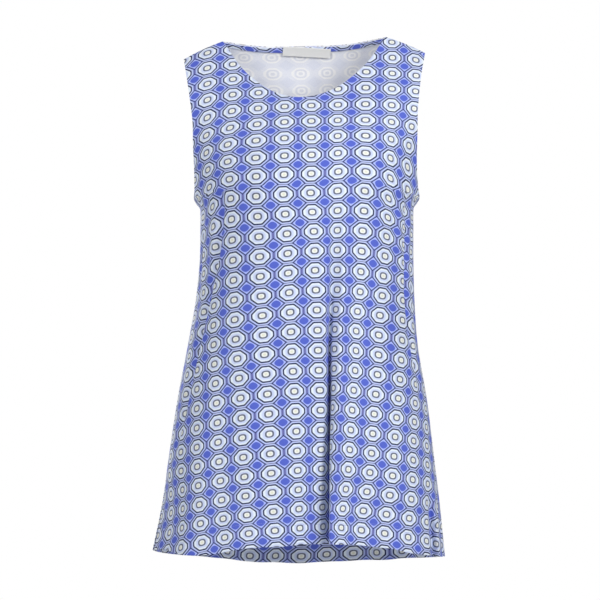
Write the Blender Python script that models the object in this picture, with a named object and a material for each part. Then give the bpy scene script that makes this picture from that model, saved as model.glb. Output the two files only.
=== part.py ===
"""Sleeveless A-line jersey top, filled out as it is when worn, with nobody in it.

Each piece that a maker would cut is one closed wall of cloth. A panel is a grid of
cloth laid over rows that run from edge to edge along the grain, from the hem up to
the shoulder seam. The tables below give the rows, the side outline and the folds in
millimetres. +X is to the right as the front is seen, the front faces -Y, +Z is up,
and the origin lies midway between the shoulders at the height of their seams.
"""

import math
from collections import namedtuple

import bmesh
import bpy
import numpy as np

MM = 0.001

# Cloth
WALL = 1.2  # jersey wall of the front and back
TURNED_WALL = 1.0  # wall of what is turned in or sewn on
SEAM_GAP = 0.3  # air between pieces that meet

# Cut
HEM_DEPTH = 34.0  # turned-up hem
BAND_DEPTH = 9.0  # turned-in back neck edge
LABEL_WIDTH = 69.0
LABEL_HEIGHT = 14.0
LABEL_CENTRE = 4.0  # to the right of the centre back
LABEL_TILT = math.radians(5)  # its right end hangs lower
LABEL_CELLS = (8, 3)
HEM_ROLL = 0.5  # what is turned in stops this far short of the folded edge
HEM_END = 0.008  # and this share of the half row short of the side seam
BAND_END = 0.010  # the same for the neck band and the shoulder seam
EDGE_ANGLE = math.radians(50)
NECK_HALF = 115.0  # half the neck width, at the shoulder seam
SHOULDER_HALF = 170.0  # half the width across the shoulder tips
NECK_POINT_Z = 11.0  # height of the shoulder seam at the neck
TIP_Z = -13.0  # height of the shoulder seam at the armhole
SEAM_BOW = 1.5  # how far the shoulder seam bows up between its ends
SEAM_REACH = 60.0  # the stretch of cloth below the shoulder seam that bends to meet it
SEAM_START = 0.375  # and the share of the neck's half width past which it does
NECK_ACROSS = NECK_HALF / SHOULDER_HALF
SHOULDER_TILT = 4.5  # the right shoulder tip is this much higher, the left this much lower
DROP_CURVE = 1.6  # how a row falls from the centre to its edges
SERIES_TERMS = 8  # of the series that gives a row's curve
CROWDED_SPAN = 0.13  # how far to each side of a deep fold the columns crowd towards it
EDGE_SHARE = 4  # how quickly the chest's even rows give way to rows that suit the armhole

# Outline from the front: half the width and the middle of it, at each height.
Side = namedtuple("Side", "z half_width middle")
SIDE = (
    Side(-712, 206.0, -6.0),
    Side(-640, 195.0, -2.5),
    Side(-580, 187.0, -2.0),
    Side(-500, 176.0, -1.0),
    Side(-415, 161.0, 0.0),
    Side(-357, 154.0, 3.0),
    Side(-300, 150.5, 5.0),
    Side(-250, 150.0, 5.5),
    Side(-234, 151.5, 5.5),
    Side(-220, 156.0, 5.5),
    Side(-200, 156.0, 4.5),
    Side(-173, 155.0, 3.5),
    Side(-131, 156.0, 3.0),
    Side(-103, 156.5, 3.0),
    Side(-75, 159.5, 2.5),
    Side(-47, 163.5, 2.0),
    Side(-13, 170.0, 2.0),
    Side(5, 173.0, 2.0),
)

# The centre line of a panel. rise is the cloth's length up it from the hem, and at each
# rise a row of cloth runs to both edges along the grain. bend says how late the row
# turns towards the side, and tilt lifts its right end and lowers its left.
Centre = namedtuple("Centre", "rise y z bend tilt")
FRONT_CENTRE = (
    Centre(0, -122.0, -684.5, 2.00, -3.0),
    Centre(110, -123.0, -574.5, 1.90, -2.0),
    Centre(220, -124.5, -464.5, 1.65, -1.0),
    Centre(320, -126.0, -364.5, 1.40, 0.0),
    Centre(410, -127.0, -274.5, 1.25, 0.5),
    Centre(484, -126.0, -200.5, 1.20, 1.0),
    Centre(515, -121.0, -170.0, 1.20, 3.0),
    Centre(545, -109.5, -142.0, 1.20, 5.5),
    Centre(590, -87.5, -103.0, 1.20, 7.5),
    Centre(628, -66.0, -71.5, 1.15, 7.0),
    Centre(668, -43.0, -38.5, 1.10, 6.0),
    Centre(704, -24.0, -8.0, 1.05, 5.0),
    Centre(730, -15.0, 17.0, 1.00, 4.5),
)
BACK_CENTRE = (
    Centre(0, 118.0, -740.0, 1.50, -3.0),
    Centre(115, 113.0, -625.0, 1.45, -2.0),
    Centre(230, 108.0, -510.0, 1.35, -1.0),
    Centre(335, 103.5, -405.0, 1.25, 0.0),
    Centre(425, 100.0, -315.0, 1.20, 0.5),
    Centre(500, 98.5, -240.0, 1.15, 1.0),
    Centre(548, 97.0, -192.0, 1.15, 3.5),
    Centre(600, 91.5, -140.5, 1.15, 5.0),
    Centre(650, 80.5, -91.5, 1.12, 5.5),
    Centre(699, 66.0, -45.0, 1.10, 5.0),
    Centre(734, 52.0, -13.0, 1.05, 4.5),
    Centre(768, 33.0, 15.5, 1.00, 4.5),
)

# The edge of a panel: the side seam, then the armhole up to the shoulder tip. turn is
# how many degrees a row has turned from straight across when it gets there.
Edge = namedtuple("Edge", "rise y z turn")
FRONT_SEAM = (
    Edge(0, 0, -712, 90),
    Edge(110, 0, -599, 90),
    Edge(220, 0, -487, 90),
    Edge(320, 0, -386, 90),
    Edge(410, 0, -295, 90),
    Edge(484, 0, -220, 90),
)
FRONT_ARMHOLE = (
    Edge(484, 0.0, -220.0, 90.0),
    Edge(484.6, -12.0, -218.3, 83.0),
    Edge(489, -23.5, -212.0, 75.5),
    Edge(501.5, -33.0, -198.0, 69.0),
    Edge(523.5, -41.0, -175.0, 63.0),
    Edge(557, -46.0, -142.0, 57.0),
    Edge(592, -46.5, -110.0, 51.0),
    Edge(628, -40.0, -76.0, 44.0),
    Edge(668, -24.0, -42.0, 37.0),
    Edge(704, -1.0, -14.0, 31.0),
    Edge(730, 20.0, 2.0, 30.0),
)
BACK_SEAM = (
    Edge(0, 0, -712, 90),
    Edge(115, 0, -600, 90),
    Edge(230, 0, -488, 90),
    Edge(335, 0, -385, 90),
    Edge(425, 0, -296, 90),
    Edge(500, 0, -220, 90),
)
BACK_ARMHOLE = (
    Edge(500, 0.0, -220.0, 90.0),
    Edge(503.5, 13.0, -219.0, 80.0),
    Edge(514, 25.0, -211.0, 71.0),
    Edge(532, 35.0, -195.0, 65.0),
    Edge(558, 42.5, -170.0, 60.0),
    Edge(590, 46.0, -139.0, 56.0),
    Edge(626, 44.5, -107.0, 52.0),
    Edge(665, 36.5, -72.0, 47.0),
    Edge(704, 20.5, -38.0, 42.0),
    Edge(734, 1.0, -13.0, 38.0),
    Edge(768, -35.0, 3.0, 36.0),
)

# Folds run down a panel from rise `top` to rise `foot`. across is their place on the
# half row, from -1 at the left edge to 1 at the right. depth goes into the body, lean
# to the right, and reach is 0.5 for a fold that is deepest at its foot, 1 for one that
# fades out there.
Fold = namedtuple("Fold", "top foot across_top across_foot depth lean half_width reach wander")
FRONT_FOLDS = (
    Fold(480, 0, 0.130, 0.062, 33.0, 27.0, 26.0, 0.5, 0.004),
    Fold(500, 110, -0.75, -0.79, 6.0, 0.0, 17.0, 1.0, 0.012),
    Fold(495, 200, 0.75, 0.80, 6.0, 0.0, 16.0, 1.0, 0.012),
    Fold(160, 0, -0.74, -0.70, 8.0, 0.0, 22.0, 0.5, 0.006),
    Fold(90, 0, 0.76, 0.75, 8.0, 4.0, 17.0, 0.5, 0.004),
    Fold(330, 0, -0.40, -0.45, 3.5, 0.0, 40.0, 0.5, 0.010),
)
BACK_FOLDS = (
    Fold(600, 0, -0.36, -0.44, 14.0, -6.0, 36.0, 0.5, 0.012),
    Fold(520, 0, 0.04, -0.02, 7.0, 0.0, 42.0, 0.5, 0.016),
    Fold(610, 0, 0.38, 0.45, 12.0, 5.0, 34.0, 0.5, 0.010),
    Fold(500, 120, -0.80, -0.77, 5.0, 0.0, 18.0, 1.0, 0.010),
    Fold(480, 60, 0.78, 0.80, 5.0, 0.0, 18.0, 1.0, 0.010),
)

# A panel: its lines, its folds, which way it faces, and its cut at neck and shoulder.
# neck_rise is the neckline's lowest point, point_rise and tip_rise the two ends of the
# shoulder seam, neck_curve how the neckline climbs, neck_shift its low point's place
# across, and parting how far up the neckline the grid parts into two straps. crowding
# is how much closer the columns stand at the first fold.
Panel = namedtuple(
    "Panel",
    "centre seam armhole folds facing neck_rise point_rise tip_rise neck_curve neck_shift parting "
    "crowding side_columns neck_columns body_rows chest_rows strap_rows",
)
FRONT = Panel(
    centre=FRONT_CENTRE,
    seam=FRONT_SEAM,
    armhole=FRONT_ARMHOLE,
    folds=FRONT_FOLDS,
    facing=-1,
    neck_rise=622,
    point_rise=730,
    tip_rise=704,
    neck_curve=2.2,
    neck_shift=-0.035,
    parting=0.45,
    crowding=3.0,
    side_columns=12,
    neck_columns=26,
    body_rows=16,
    chest_rows=10,
    strap_rows=5,
)
BACK = Panel(
    centre=BACK_CENTRE,
    seam=BACK_SEAM,
    armhole=BACK_ARMHOLE,
    folds=BACK_FOLDS,
    facing=1,
    neck_rise=756,
    point_rise=768,
    tip_rise=734,
    neck_curve=2.6,
    neck_shift=0.0,
    parting=1.0,
    crowding=0.0,
    side_columns=9,
    neck_columns=28,
    body_rows=15,
    chest_rows=12,
    strap_rows=0,
)

JERSEY_BLUE = (0.135, 0.165, 0.66, 1.0)
REVERSE_GREY = (0.70, 0.72, 0.84, 1.0)
LABEL_WHITE = (0.86, 0.85, 0.82, 1.0)


def smooth(keys, values, at):
    """A smooth curve through a table's values, read at any key."""
    keys, values = np.asarray(keys, float), np.asarray(values, float)
    slopes = np.gradient(values, keys)
    low = np.clip(np.searchsorted(keys, at) - 1, 0, len(keys) - 2)
    span = keys[low + 1] - keys[low]
    f = (at - keys[low]) / span
    start = (1 + 2 * f) * (1 - f) ** 2 * values[low] + f * (1 - f) ** 2 * span * slopes[low]
    end = f**2 * (3 - 2 * f) * values[low + 1] + f**2 * (f - 1) * span * slopes[low + 1]
    return start + end


def read(table, name, at, key=None):
    """A column of a table by its key column, or by row number where none is named."""
    keys = [getattr(row, key) for row in table] if key else range(len(table))
    return smooth(keys, [getattr(row, name) for row in table], at)


def edge_at(panel, level, name):
    """The edge at a level: 0 at the hem, and one more at each row of its tables."""
    armpit = len(panel.seam) - 1
    on_seam = read(panel.seam, name, np.minimum(level, armpit))
    on_armhole = read(panel.armhole, name, np.maximum(level - armpit, 0.0))
    return np.where(level <= armpit, on_seam, on_armhole)


def level_of(panel, rise):
    """The level whose row lies at a rise."""
    levels = np.linspace(0, len(panel.seam) + len(panel.armhole) - 2, 4001)
    return np.interp(rise, edge_at(panel, levels, "rise"), levels)


def run_and_back(turn, bend, u):
    """How far a row has gone sideways and back at u, when its angle is turn * u ** bend.

    These are the power series of the integrals of the angle's cosine and sine.
    """
    run, back = 0.0, 0.0
    for i in range(SERIES_TERMS):
        even, odd = 2 * i, 2 * i + 1
        for_run = (-1) ** i * turn**even / (math.factorial(even) * (even * bend + 1))
        for_back = (-1) ** i * turn**odd / (math.factorial(odd) * (odd * bend + 1))
        run = run + for_run * u ** (even * bend + 1)
        back = back + for_back * u ** (odd * bend + 1)
    return run, back


def plain_surface(panel, across, level):
    """Points of a panel without its folds, in millimetres."""
    rise = edge_at(panel, level, "rise")
    centre = {name: read(panel.centre, name, rise, "rise") for name in Centre._fields}
    edge = {name: edge_at(panel, level, name) for name in Edge._fields}
    u, hand = np.abs(across), np.sign(across)
    turn = np.radians(edge["turn"])
    run, back = run_and_back(turn, centre["bend"], u)
    full_run, full_back = run_and_back(turn, centre["bend"], 1.0)
    half_width, middle = (read(SIDE, name, edge["z"], "z") for name in ("half_width", "middle"))
    x = middle + hand * half_width * run / full_run
    y = centre["y"] + (edge["y"] - centre["y"]) * back / full_back + panel.facing * SEAM_GAP / 2
    z = centre["z"] + (edge["z"] - centre["z"]) * u**DROP_CURVE + centre["tilt"] * across
    return np.stack([x, y, z], axis=-1)


def unit(v):
    return v / np.linalg.norm(v, axis=-1, keepdims=True)


def folded_surface(panel, across, level):
    """The same points with the panel's folds pressed in."""
    step = 0.004
    place = plain_surface(panel, across, level)
    along = plain_surface(panel, across + step, level) - plain_surface(panel, across - step, level)
    half_row = np.linalg.norm(along, axis=-1) / (2 * step)
    along = unit(along * [1, 1, 0])
    inward = along[..., [1, 0, 2]] * [-1, 1, 0] * -panel.facing
    rise = edge_at(panel, level, "rise")
    for fold in panel.folds:
        down = np.clip((fold.top - rise) / (fold.top - fold.foot), 0, 1)
        wander = fold.wander * np.sin(3 * math.pi * down)
        line = fold.across_top + (fold.across_foot - fold.across_top) * down + wander
        e = np.clip((across - line) * half_row / fold.half_width, -1, 1)
        press = np.sin(math.pi * fold.reach * down) * np.cos(math.pi * e / 2) ** 2
        place = place + (inward * fold.depth + along * fold.lean) * press[..., None]
    return place


def shoulder_seam(panel, across):
    """The line that front and back share at the shoulder."""
    f = (np.abs(across) - NECK_ACROSS) / (1 - NECK_ACROSS)
    x = NECK_HALF + (SHOULDER_HALF - NECK_HALF) * f
    z = NECK_POINT_Z + (TIP_Z - NECK_POINT_Z) * f + SEAM_BOW * 4 * f * (1 - f)
    z = z + SHOULDER_TILT * np.sign(across) * x / SHOULDER_HALF
    x = read(SIDE, "middle", TIP_Z, "z") + np.sign(across) * x
    return np.stack([x, np.full_like(x, panel.facing * SEAM_GAP / 2), z], axis=-1)


def shoulder_rise(panel, strap_share):
    """The shoulder seam's rise, from 0 at the neck to 1 at the tip."""
    return panel.point_rise + (panel.tip_rise - panel.point_rise) * strap_share


def eased(f):
    f = np.clip(f, 0, 1)
    return f**2 * (3 - 2 * f)


def surface(panel, across, rise):
    """Points of the worn panel, brought to the shared seam at the top of the straps."""
    place = folded_surface(panel, across, level_of(panel, rise))
    hand = np.where(across < 0, -1.0, 1.0)
    on_strap = hand * np.maximum(np.abs(across), NECK_ACROSS)
    top = shoulder_rise(panel, (np.abs(on_strap) - NECK_ACROSS) / (1 - NECK_ACROSS))
    seam_error = shoulder_seam(panel, on_strap) - folded_surface(panel, on_strap, level_of(panel, top))
    outward = (np.abs(across) / NECK_ACROSS - SEAM_START) / (1 - SEAM_START)
    near = eased(1 - (top - rise) / SEAM_REACH) * eased(outward)
    return place + seam_error * near[..., None]


def inner_surface(panel, across, rise, depth):
    """The panel's points moved in by a depth, but never past the plane of the seams."""
    step_across, step_rise = 0.002, 1.0
    by_row = surface(panel, across + step_across, rise) - surface(panel, across - step_across, rise)
    by_rise = surface(panel, across, rise + step_rise) - surface(panel, across, rise - step_rise)
    outward = unit(np.cross(by_row, by_rise)) * -panel.facing
    place = surface(panel, across, rise) - outward * depth
    place[..., 1] = panel.facing * np.maximum(panel.facing * place[..., 1], SEAM_GAP / 2)
    return place


def split_rise(panel):
    return panel.neck_rise + panel.parting * (panel.point_rise - panel.neck_rise)


def neck_across(panel, height, hand):
    """Where the neckline is, at a height from 0 at its lowest point to 1 at the shoulder."""
    return hand * NECK_ACROSS * height ** (1 / panel.neck_curve) + panel.neck_shift * (1 - height)


def neck_height(panel, across):
    """The neckline's height above its lowest point, at a place across."""
    heights = np.linspace(0, 1, 401)
    left = np.interp(-across, -neck_across(panel, heights, -1), heights)
    right = np.interp(across, neck_across(panel, heights, 1), heights)
    return np.where(across < panel.neck_shift, left, right)


def crowded(panel, start, end, count):
    """Column places from start to end, closer together around the panel's first fold."""
    places = np.linspace(start, end, 401)
    fold = panel.folds[0]
    line = (fold.across_top + fold.across_foot) / 2
    crowd = 1 + panel.crowding * np.exp(-(((places - line) / CROWDED_SPAN) ** 2))
    passed = np.concatenate([[0], np.cumsum((crowd[1:] + crowd[:-1]) / 2)])
    return np.interp(np.linspace(0, passed[-1], count + 1), passed, places)


def cut_places(panel):
    """Where every point of a panel's grid lies on the cloth: across[column, row] and rise."""
    strap, neck = panel.side_columns, panel.neck_columns
    left, right = neck_across(panel, panel.parting, -1), neck_across(panel, panel.parting, 1)
    middle = crowded(panel, left, right, neck)
    columns = np.concatenate(
        [np.linspace(-1, left, strap + 1)[:-1], middle, np.linspace(right, 1, strap + 1)[1:]]
    )
    split = panel.body_rows + panel.chest_rows
    across = np.repeat(columns[:, None], split + panel.strap_rows + 1, axis=1)
    rise = np.zeros_like(across)
    armpit = len(panel.seam) - 1
    part_rise = split_rise(panel)
    climb = panel.point_rise - part_rise
    outward = np.clip(np.maximum((left - columns) / (left + 1), (columns - right) / (1 - right)), 0, 1)
    strap_foot = part_rise + (panel.tip_rise - climb - part_rise) * outward
    neckline = panel.neck_rise + neck_height(panel, columns) * (panel.point_rise - panel.neck_rise)
    tops = np.where(outward > 0, strap_foot, neckline)
    body = np.linspace(level_of(panel, HEM_DEPTH), armpit, panel.body_rows)[:-1]
    armpit_rise = panel.armhole[0].rise
    rise[:, : panel.body_rows] = edge_at(panel, np.concatenate([[0], body]), "rise")
    for j, top in enumerate(tops):
        last = top - BAND_DEPTH
        by_edge = edge_at(panel, np.linspace(armpit, level_of(panel, last), panel.chest_rows), "rise")
        even = np.linspace(armpit_rise, last, panel.chest_rows)
        rise[j, panel.body_rows : split] = even + (by_edge - even) * abs(columns[j]) ** EDGE_SHARE
        rise[j, split] = top
    for i in range(1, panel.strap_rows + 1):
        share = i / panel.strap_rows
        height = panel.parting + (1 - panel.parting) * share
        for hand, first in ((-1, 0), (1, strap + neck)):
            ends = sorted((hand, neck_across(panel, height, hand)))
            cells = slice(first, first + strap + 1)
            across[cells, split + i] = np.linspace(*ends, strap + 1)
            seam = shoulder_rise(panel, outward[cells])
            rise[cells, split + i] = strap_foot[cells] + (seam - strap_foot[cells]) * share
    return across, rise


def material(name, colour, roughness):
    made = bpy.data.materials.new(name)
    made.use_nodes = True
    shader = made.node_tree.nodes["Principled BSDF"]
    shader.inputs["Base Color"].default_value = colour
    shader.inputs["Roughness"].default_value = roughness
    shader.inputs["Metallic"].default_value = 0.0
    return made


def cloth_piece(name, outer, inner, finish, keep=None):
    """A closed wall of cloth between two grids of points[column, row]."""
    columns, rows = outer.shape[0] - 1, outer.shape[1] - 1
    mesh = bmesh.new()
    bmesh.ops.create_grid(mesh, x_segments=columns, y_segments=rows, size=1.0)

    def cell(vertex):
        return round((vertex.co.x + 1) / 2 * columns), round((vertex.co.y + 1) / 2 * rows)

    if keep is not None:
        cut = [face for face in mesh.faces if not keep(*map(min, zip(*map(cell, face.verts))))]
        bmesh.ops.delete(mesh, geom=cut, context="FACES")
    outer_side = list(mesh.verts)
    wall = bmesh.ops.extrude_face_region(mesh, geom=mesh.faces[:], use_keep_orig=True)
    inner_side = [part for part in wall["geom"] if isinstance(part, bmesh.types.BMVert)]
    for points, vertices in ((outer, outer_side), (inner, inner_side)):
        for vertex in vertices:
            vertex.co = points[cell(vertex)] * MM
    bmesh.ops.recalc_face_normals(mesh, faces=mesh.faces[:])
    data = bpy.data.meshes.new(name)
    mesh.to_mesh(data)
    mesh.free()
    data.shade_smooth()
    data.set_sharp_from_angle(angle=EDGE_ANGLE)
    data.materials.append(finish)
    piece = bpy.data.objects.new(name, data)
    bpy.context.collection.objects.link(piece)
    return piece


def make_panel(name, panel, finish):
    across, rise = cut_places(panel)
    strap, neck = panel.side_columns, panel.neck_columns
    split = panel.body_rows + panel.chest_rows

    def keep(column, row):
        return row < split or not strap <= column < strap + neck

    outer, inner = surface(panel, across, rise), inner_surface(panel, across, rise, WALL)
    return cloth_piece(name, outer, inner, finish, keep)


def make_lining_strip(name, panel, across, rise, layers, finish):
    """Cloth laid against the inside of a panel, over so many layers turned in before it."""
    depth = WALL + SEAM_GAP + layers * (TURNED_WALL + SEAM_GAP)
    outer = inner_surface(panel, across, rise, depth)
    inner = inner_surface(panel, across, rise, depth + TURNED_WALL)
    return cloth_piece(name, outer, inner, finish)


def make_hem_turnup(name, panel, finish):
    """The hem allowance, turned up against the inside of its panel."""
    columns = np.clip(cut_places(panel)[0][:, 0], HEM_END - 1, 1 - HEM_END)
    across, rise = np.meshgrid(columns, [HEM_ROLL, HEM_DEPTH], indexing="ij")
    return make_lining_strip(name, panel, across, rise, 0, finish)


def make_neck_band(name, panel, finish):
    """The back neck edge, turned in against the inside of the back."""
    neck = slice(panel.side_columns, panel.side_columns + panel.neck_columns + 1)
    across, rise = (places[neck, -2:] for places in cut_places(panel))
    across = np.clip(across, BAND_END - NECK_ACROSS, NECK_ACROSS - BAND_END)
    return make_lining_strip(name, panel, across, rise - [0, HEM_ROLL], 0, finish)


def make_label(name, panel, finish):
    """A small label laid over the band, hanging below it."""
    columns, rows = LABEL_CELLS
    x, up = np.meshgrid(
        np.linspace(-LABEL_WIDTH / 2, LABEL_WIDTH / 2, columns + 1),
        np.linspace(-LABEL_HEIGHT, 0, rows + 1),
        indexing="ij",
    )
    along = LABEL_CENTRE + x * math.cos(LABEL_TILT) + up * math.sin(LABEL_TILT)
    drop = up * math.cos(LABEL_TILT) - (x + LABEL_WIDTH / 2) * math.sin(LABEL_TILT)
    ends = surface(panel, np.array([-0.1, 0.1]), np.full(2, panel.neck_rise - LABEL_HEIGHT / 2))
    half_row = np.linalg.norm(ends[1] - ends[0]) / 0.2
    return make_lining_strip(name, panel, along / half_row, panel.neck_rise - HEM_ROLL + drop, 1, finish)


def main():
    for old in list(bpy.data.objects):
        bpy.data.objects.remove(old)
    jersey = material("printed_jersey", JERSEY_BLUE, 0.75)
    turned = material("printed_jersey_turned", REVERSE_GREY, 0.8)
    woven = material("woven_label", LABEL_WHITE, 0.6)
    make_panel("front", FRONT, jersey)
    make_panel("back", BACK, jersey)
    make_hem_turnup("hem_turnup_front", FRONT, turned)
    make_hem_turnup("hem_turnup_back", BACK, turned)
    make_neck_band("neck_band_back", BACK, turned)
    make_label("label", BACK, woven)


main()
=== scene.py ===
import math
from collections import namedtuple

import bmesh
import bpy
import numpy as np
from mathutils import Matrix, Vector


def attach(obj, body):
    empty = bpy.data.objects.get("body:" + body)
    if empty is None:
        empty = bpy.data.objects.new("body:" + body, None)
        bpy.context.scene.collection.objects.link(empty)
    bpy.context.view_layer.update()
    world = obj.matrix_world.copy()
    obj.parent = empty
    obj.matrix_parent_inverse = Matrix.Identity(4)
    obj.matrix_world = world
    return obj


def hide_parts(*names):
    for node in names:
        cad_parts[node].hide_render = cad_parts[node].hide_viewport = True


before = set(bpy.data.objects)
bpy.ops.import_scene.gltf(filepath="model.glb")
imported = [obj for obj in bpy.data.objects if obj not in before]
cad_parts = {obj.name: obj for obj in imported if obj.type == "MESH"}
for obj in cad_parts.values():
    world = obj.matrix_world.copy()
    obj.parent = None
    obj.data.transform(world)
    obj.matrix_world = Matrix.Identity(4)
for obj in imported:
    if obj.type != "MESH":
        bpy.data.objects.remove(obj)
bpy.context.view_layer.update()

# The looks of the sleeveless A-line jersey top. Every piece of cloth is a thin shell laid
# over the same rows and lines that the solids are made from, in millimetres, with more
# rows, deeper folds, creases, stitching and the print that was on the cloth before it
# was cut. +X is to the right as the front is seen and the front faces -Y.

MM = 0.001

# Cloth
WALL = 1.2  # jersey wall of the front and back
TURNED_WALL = 1.0  # wall of what is turned in
SEAM_GAP = 0.3  # air between pieces that meet
EDGE_ROUND = 0.35  # how much the cloth's edges are rounded

# Cut
HEM_DEPTH = 34.0  # turned-up hem
BAND_DEPTH = 9.0  # turned-in back neck edge
LABEL_WIDTH = 69.0
LABEL_HEIGHT = 15.0
LABEL_PROUD = 2.2  # how far its upper edge shows above the neck edge
LABEL_CENTRE = 4.0  # to the right of the centre back
LABEL_TILT = math.radians(5)  # its right end hangs lower
HEM_ROLL = 0.5  # what is turned in stops this far short of the folded edge
HEM_END = 0.008  # and this share of the half row short of the side seam
BAND_END = 0.010  # the same for the neck band and the shoulder seam
NECK_HALF = 115.0  # half the neck width, at the shoulder seam
SHOULDER_HALF = 170.0  # half the width across the shoulder tips
NECK_POINT_Z = 11.0  # height of the shoulder seam at the neck
TIP_Z = -13.0  # height of the shoulder seam at the armhole
SEAM_BOW = 1.5  # how far the shoulder seam bows up between its ends
SEAM_REACH = 60.0  # the stretch of cloth below the shoulder seam that bends to meet it
SEAM_START = 0.375  # and the share of the neck's half width past which it does
NECK_ACROSS = NECK_HALF / SHOULDER_HALF
SHOULDER_TILT = 4.5  # the right shoulder tip is this much higher, the left this much lower
DROP_CURVE = 1.6  # how a row falls from the centre to its edges
WANDERS = 3  # how many times a fold's line sways from side to side on its way down

# How finely the cloth is worked out
SERIES_TERMS = 8  # of the series that gives a row's curve
CROWDED_SPAN = 0.13  # how far to each side of a deep fold the columns crowd towards it
EDGE_SHARE = 4  # how quickly the chest's even rows give way to rows that suit the armhole
LEVEL_SAMPLES = 4001  # along a panel's edge
CURVE_SAMPLES = 401  # along a neckline or across a panel
LENGTH_SAMPLES = (801, 185)  # across and up a panel
RIM_ANGLE = math.radians(50)  # an edge turned more sharply than this is a cut edge
HEM_ROWS = 13
BAND_ROWS = 6
LABEL_CELLS = (60, 16)  # across and up
LABEL_PROBE = 0.1  # a place across, to each side of the centre, to measure the half row

# Outline from the front: half the width and the middle of it, at each height.
Side = namedtuple("Side", "z half_width middle")
SIDE = (
    Side(-712, 206.0, -6.0),
    Side(-640, 195.0, -2.5),
    Side(-580, 187.0, -2.0),
    Side(-500, 176.0, -1.0),
    Side(-415, 161.0, 0.0),
    Side(-357, 154.0, 3.0),
    Side(-300, 150.5, 5.0),
    Side(-250, 150.0, 5.5),
    Side(-236, 150.0, 5.5),
    Side(-226, 151.0, 5.5),
    Side(-219, 156.5, 5.5),
    Side(-200, 156.0, 4.5),
    Side(-173, 155.0, 3.5),
    Side(-131, 156.0, 3.0),
    Side(-103, 156.5, 3.0),
    Side(-75, 159.5, 2.5),
    Side(-47, 163.5, 2.0),
    Side(-13, 170.0, 2.0),
    Side(5, 173.0, 2.0),
)

# The centre line of a panel. rise is the cloth's length up it from the hem, and at each
# rise a row of cloth runs to both edges along the grain. bend says how late the row
# turns towards the side, and tilt lifts its right end and lowers its left.
Centre = namedtuple("Centre", "rise y z bend tilt")
FRONT_CENTRE = (
    Centre(0, -122.0, -684.5, 2.00, -3.0),
    Centre(110, -123.0, -574.5, 1.90, -2.0),
    Centre(220, -124.5, -464.5, 1.65, -1.0),
    Centre(320, -126.0, -364.5, 1.40, 0.0),
    Centre(410, -127.0, -274.5, 1.25, 0.5),
    Centre(484, -126.0, -200.5, 1.20, 1.0),
    Centre(515, -121.0, -170.0, 1.20, 3.0),
    Centre(545, -109.5, -142.0, 1.20, 5.5),
    Centre(590, -87.5, -103.0, 1.20, 7.5),
    Centre(628, -66.0, -71.5, 1.15, 7.0),
    Centre(668, -43.0, -38.5, 1.10, 6.0),
    Centre(704, -24.0, -8.0, 1.05, 5.0),
    Centre(730, -15.0, 17.0, 1.00, 4.5),
)
BACK_CENTRE = (
    Centre(0, 118.0, -740.0, 1.50, -3.0),
    Centre(115, 113.0, -625.0, 1.45, -2.0),
    Centre(230, 108.0, -510.0, 1.35, -1.0),
    Centre(335, 103.5, -405.0, 1.25, 0.0),
    Centre(425, 100.0, -315.0, 1.20, 0.5),
    Centre(500, 98.5, -240.0, 1.15, 1.0),
    Centre(548, 97.0, -192.0, 1.15, 3.5),
    Centre(600, 91.5, -140.5, 1.15, 5.0),
    Centre(650, 80.5, -91.5, 1.12, 5.5),
    Centre(699, 66.0, -45.0, 1.10, 5.0),
    Centre(734, 52.0, -13.0, 1.05, 4.5),
    Centre(768, 33.0, 15.5, 1.00, 4.5),
)

# The edge of a panel: the side seam, then the armhole up to the shoulder tip. turn is
# how many degrees a row has turned from straight across when it gets there.
Edge = namedtuple("Edge", "rise y z turn")
FRONT_SEAM = (
    Edge(0, 0, -712, 90),
    Edge(110, 0, -599, 90),
    Edge(220, 0, -487, 90),
    Edge(320, 0, -386, 90),
    Edge(410, 0, -295, 90),
    Edge(484, 0, -220, 90),
)
FRONT_ARMHOLE = (
    Edge(484, 0.0, -220.0, 90.0),
    Edge(484.6, -12.0, -218.3, 83.0),
    Edge(489, -23.5, -212.0, 75.5),
    Edge(501.5, -33.0, -198.0, 69.0),
    Edge(523.5, -41.0, -175.0, 63.0),
    Edge(557, -46.0, -142.0, 57.0),
    Edge(592, -46.5, -110.0, 51.0),
    Edge(628, -40.0, -76.0, 44.0),
    Edge(668, -24.0, -42.0, 37.0),
    Edge(704, -1.0, -14.0, 31.0),
    Edge(730, 20.0, 2.0, 30.0),
)
BACK_SEAM = (
    Edge(0, 0, -712, 90),
    Edge(115, 0, -600, 90),
    Edge(230, 0, -488, 90),
    Edge(335, 0, -385, 90),
    Edge(425, 0, -296, 90),
    Edge(500, 0, -220, 90),
)
BACK_ARMHOLE = (
    Edge(500, 0.0, -220.0, 90.0),
    Edge(503.5, 13.0, -219.0, 80.0),
    Edge(514, 25.0, -211.0, 71.0),
    Edge(532, 35.0, -195.0, 65.0),
    Edge(558, 42.5, -170.0, 60.0),
    Edge(590, 46.0, -139.0, 56.0),
    Edge(626, 44.5, -107.0, 52.0),
    Edge(665, 36.5, -72.0, 47.0),
    Edge(704, 20.5, -38.0, 42.0),
    Edge(734, 1.0, -13.0, 38.0),
    Edge(768, -35.0, 3.0, 36.0),
)

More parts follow.
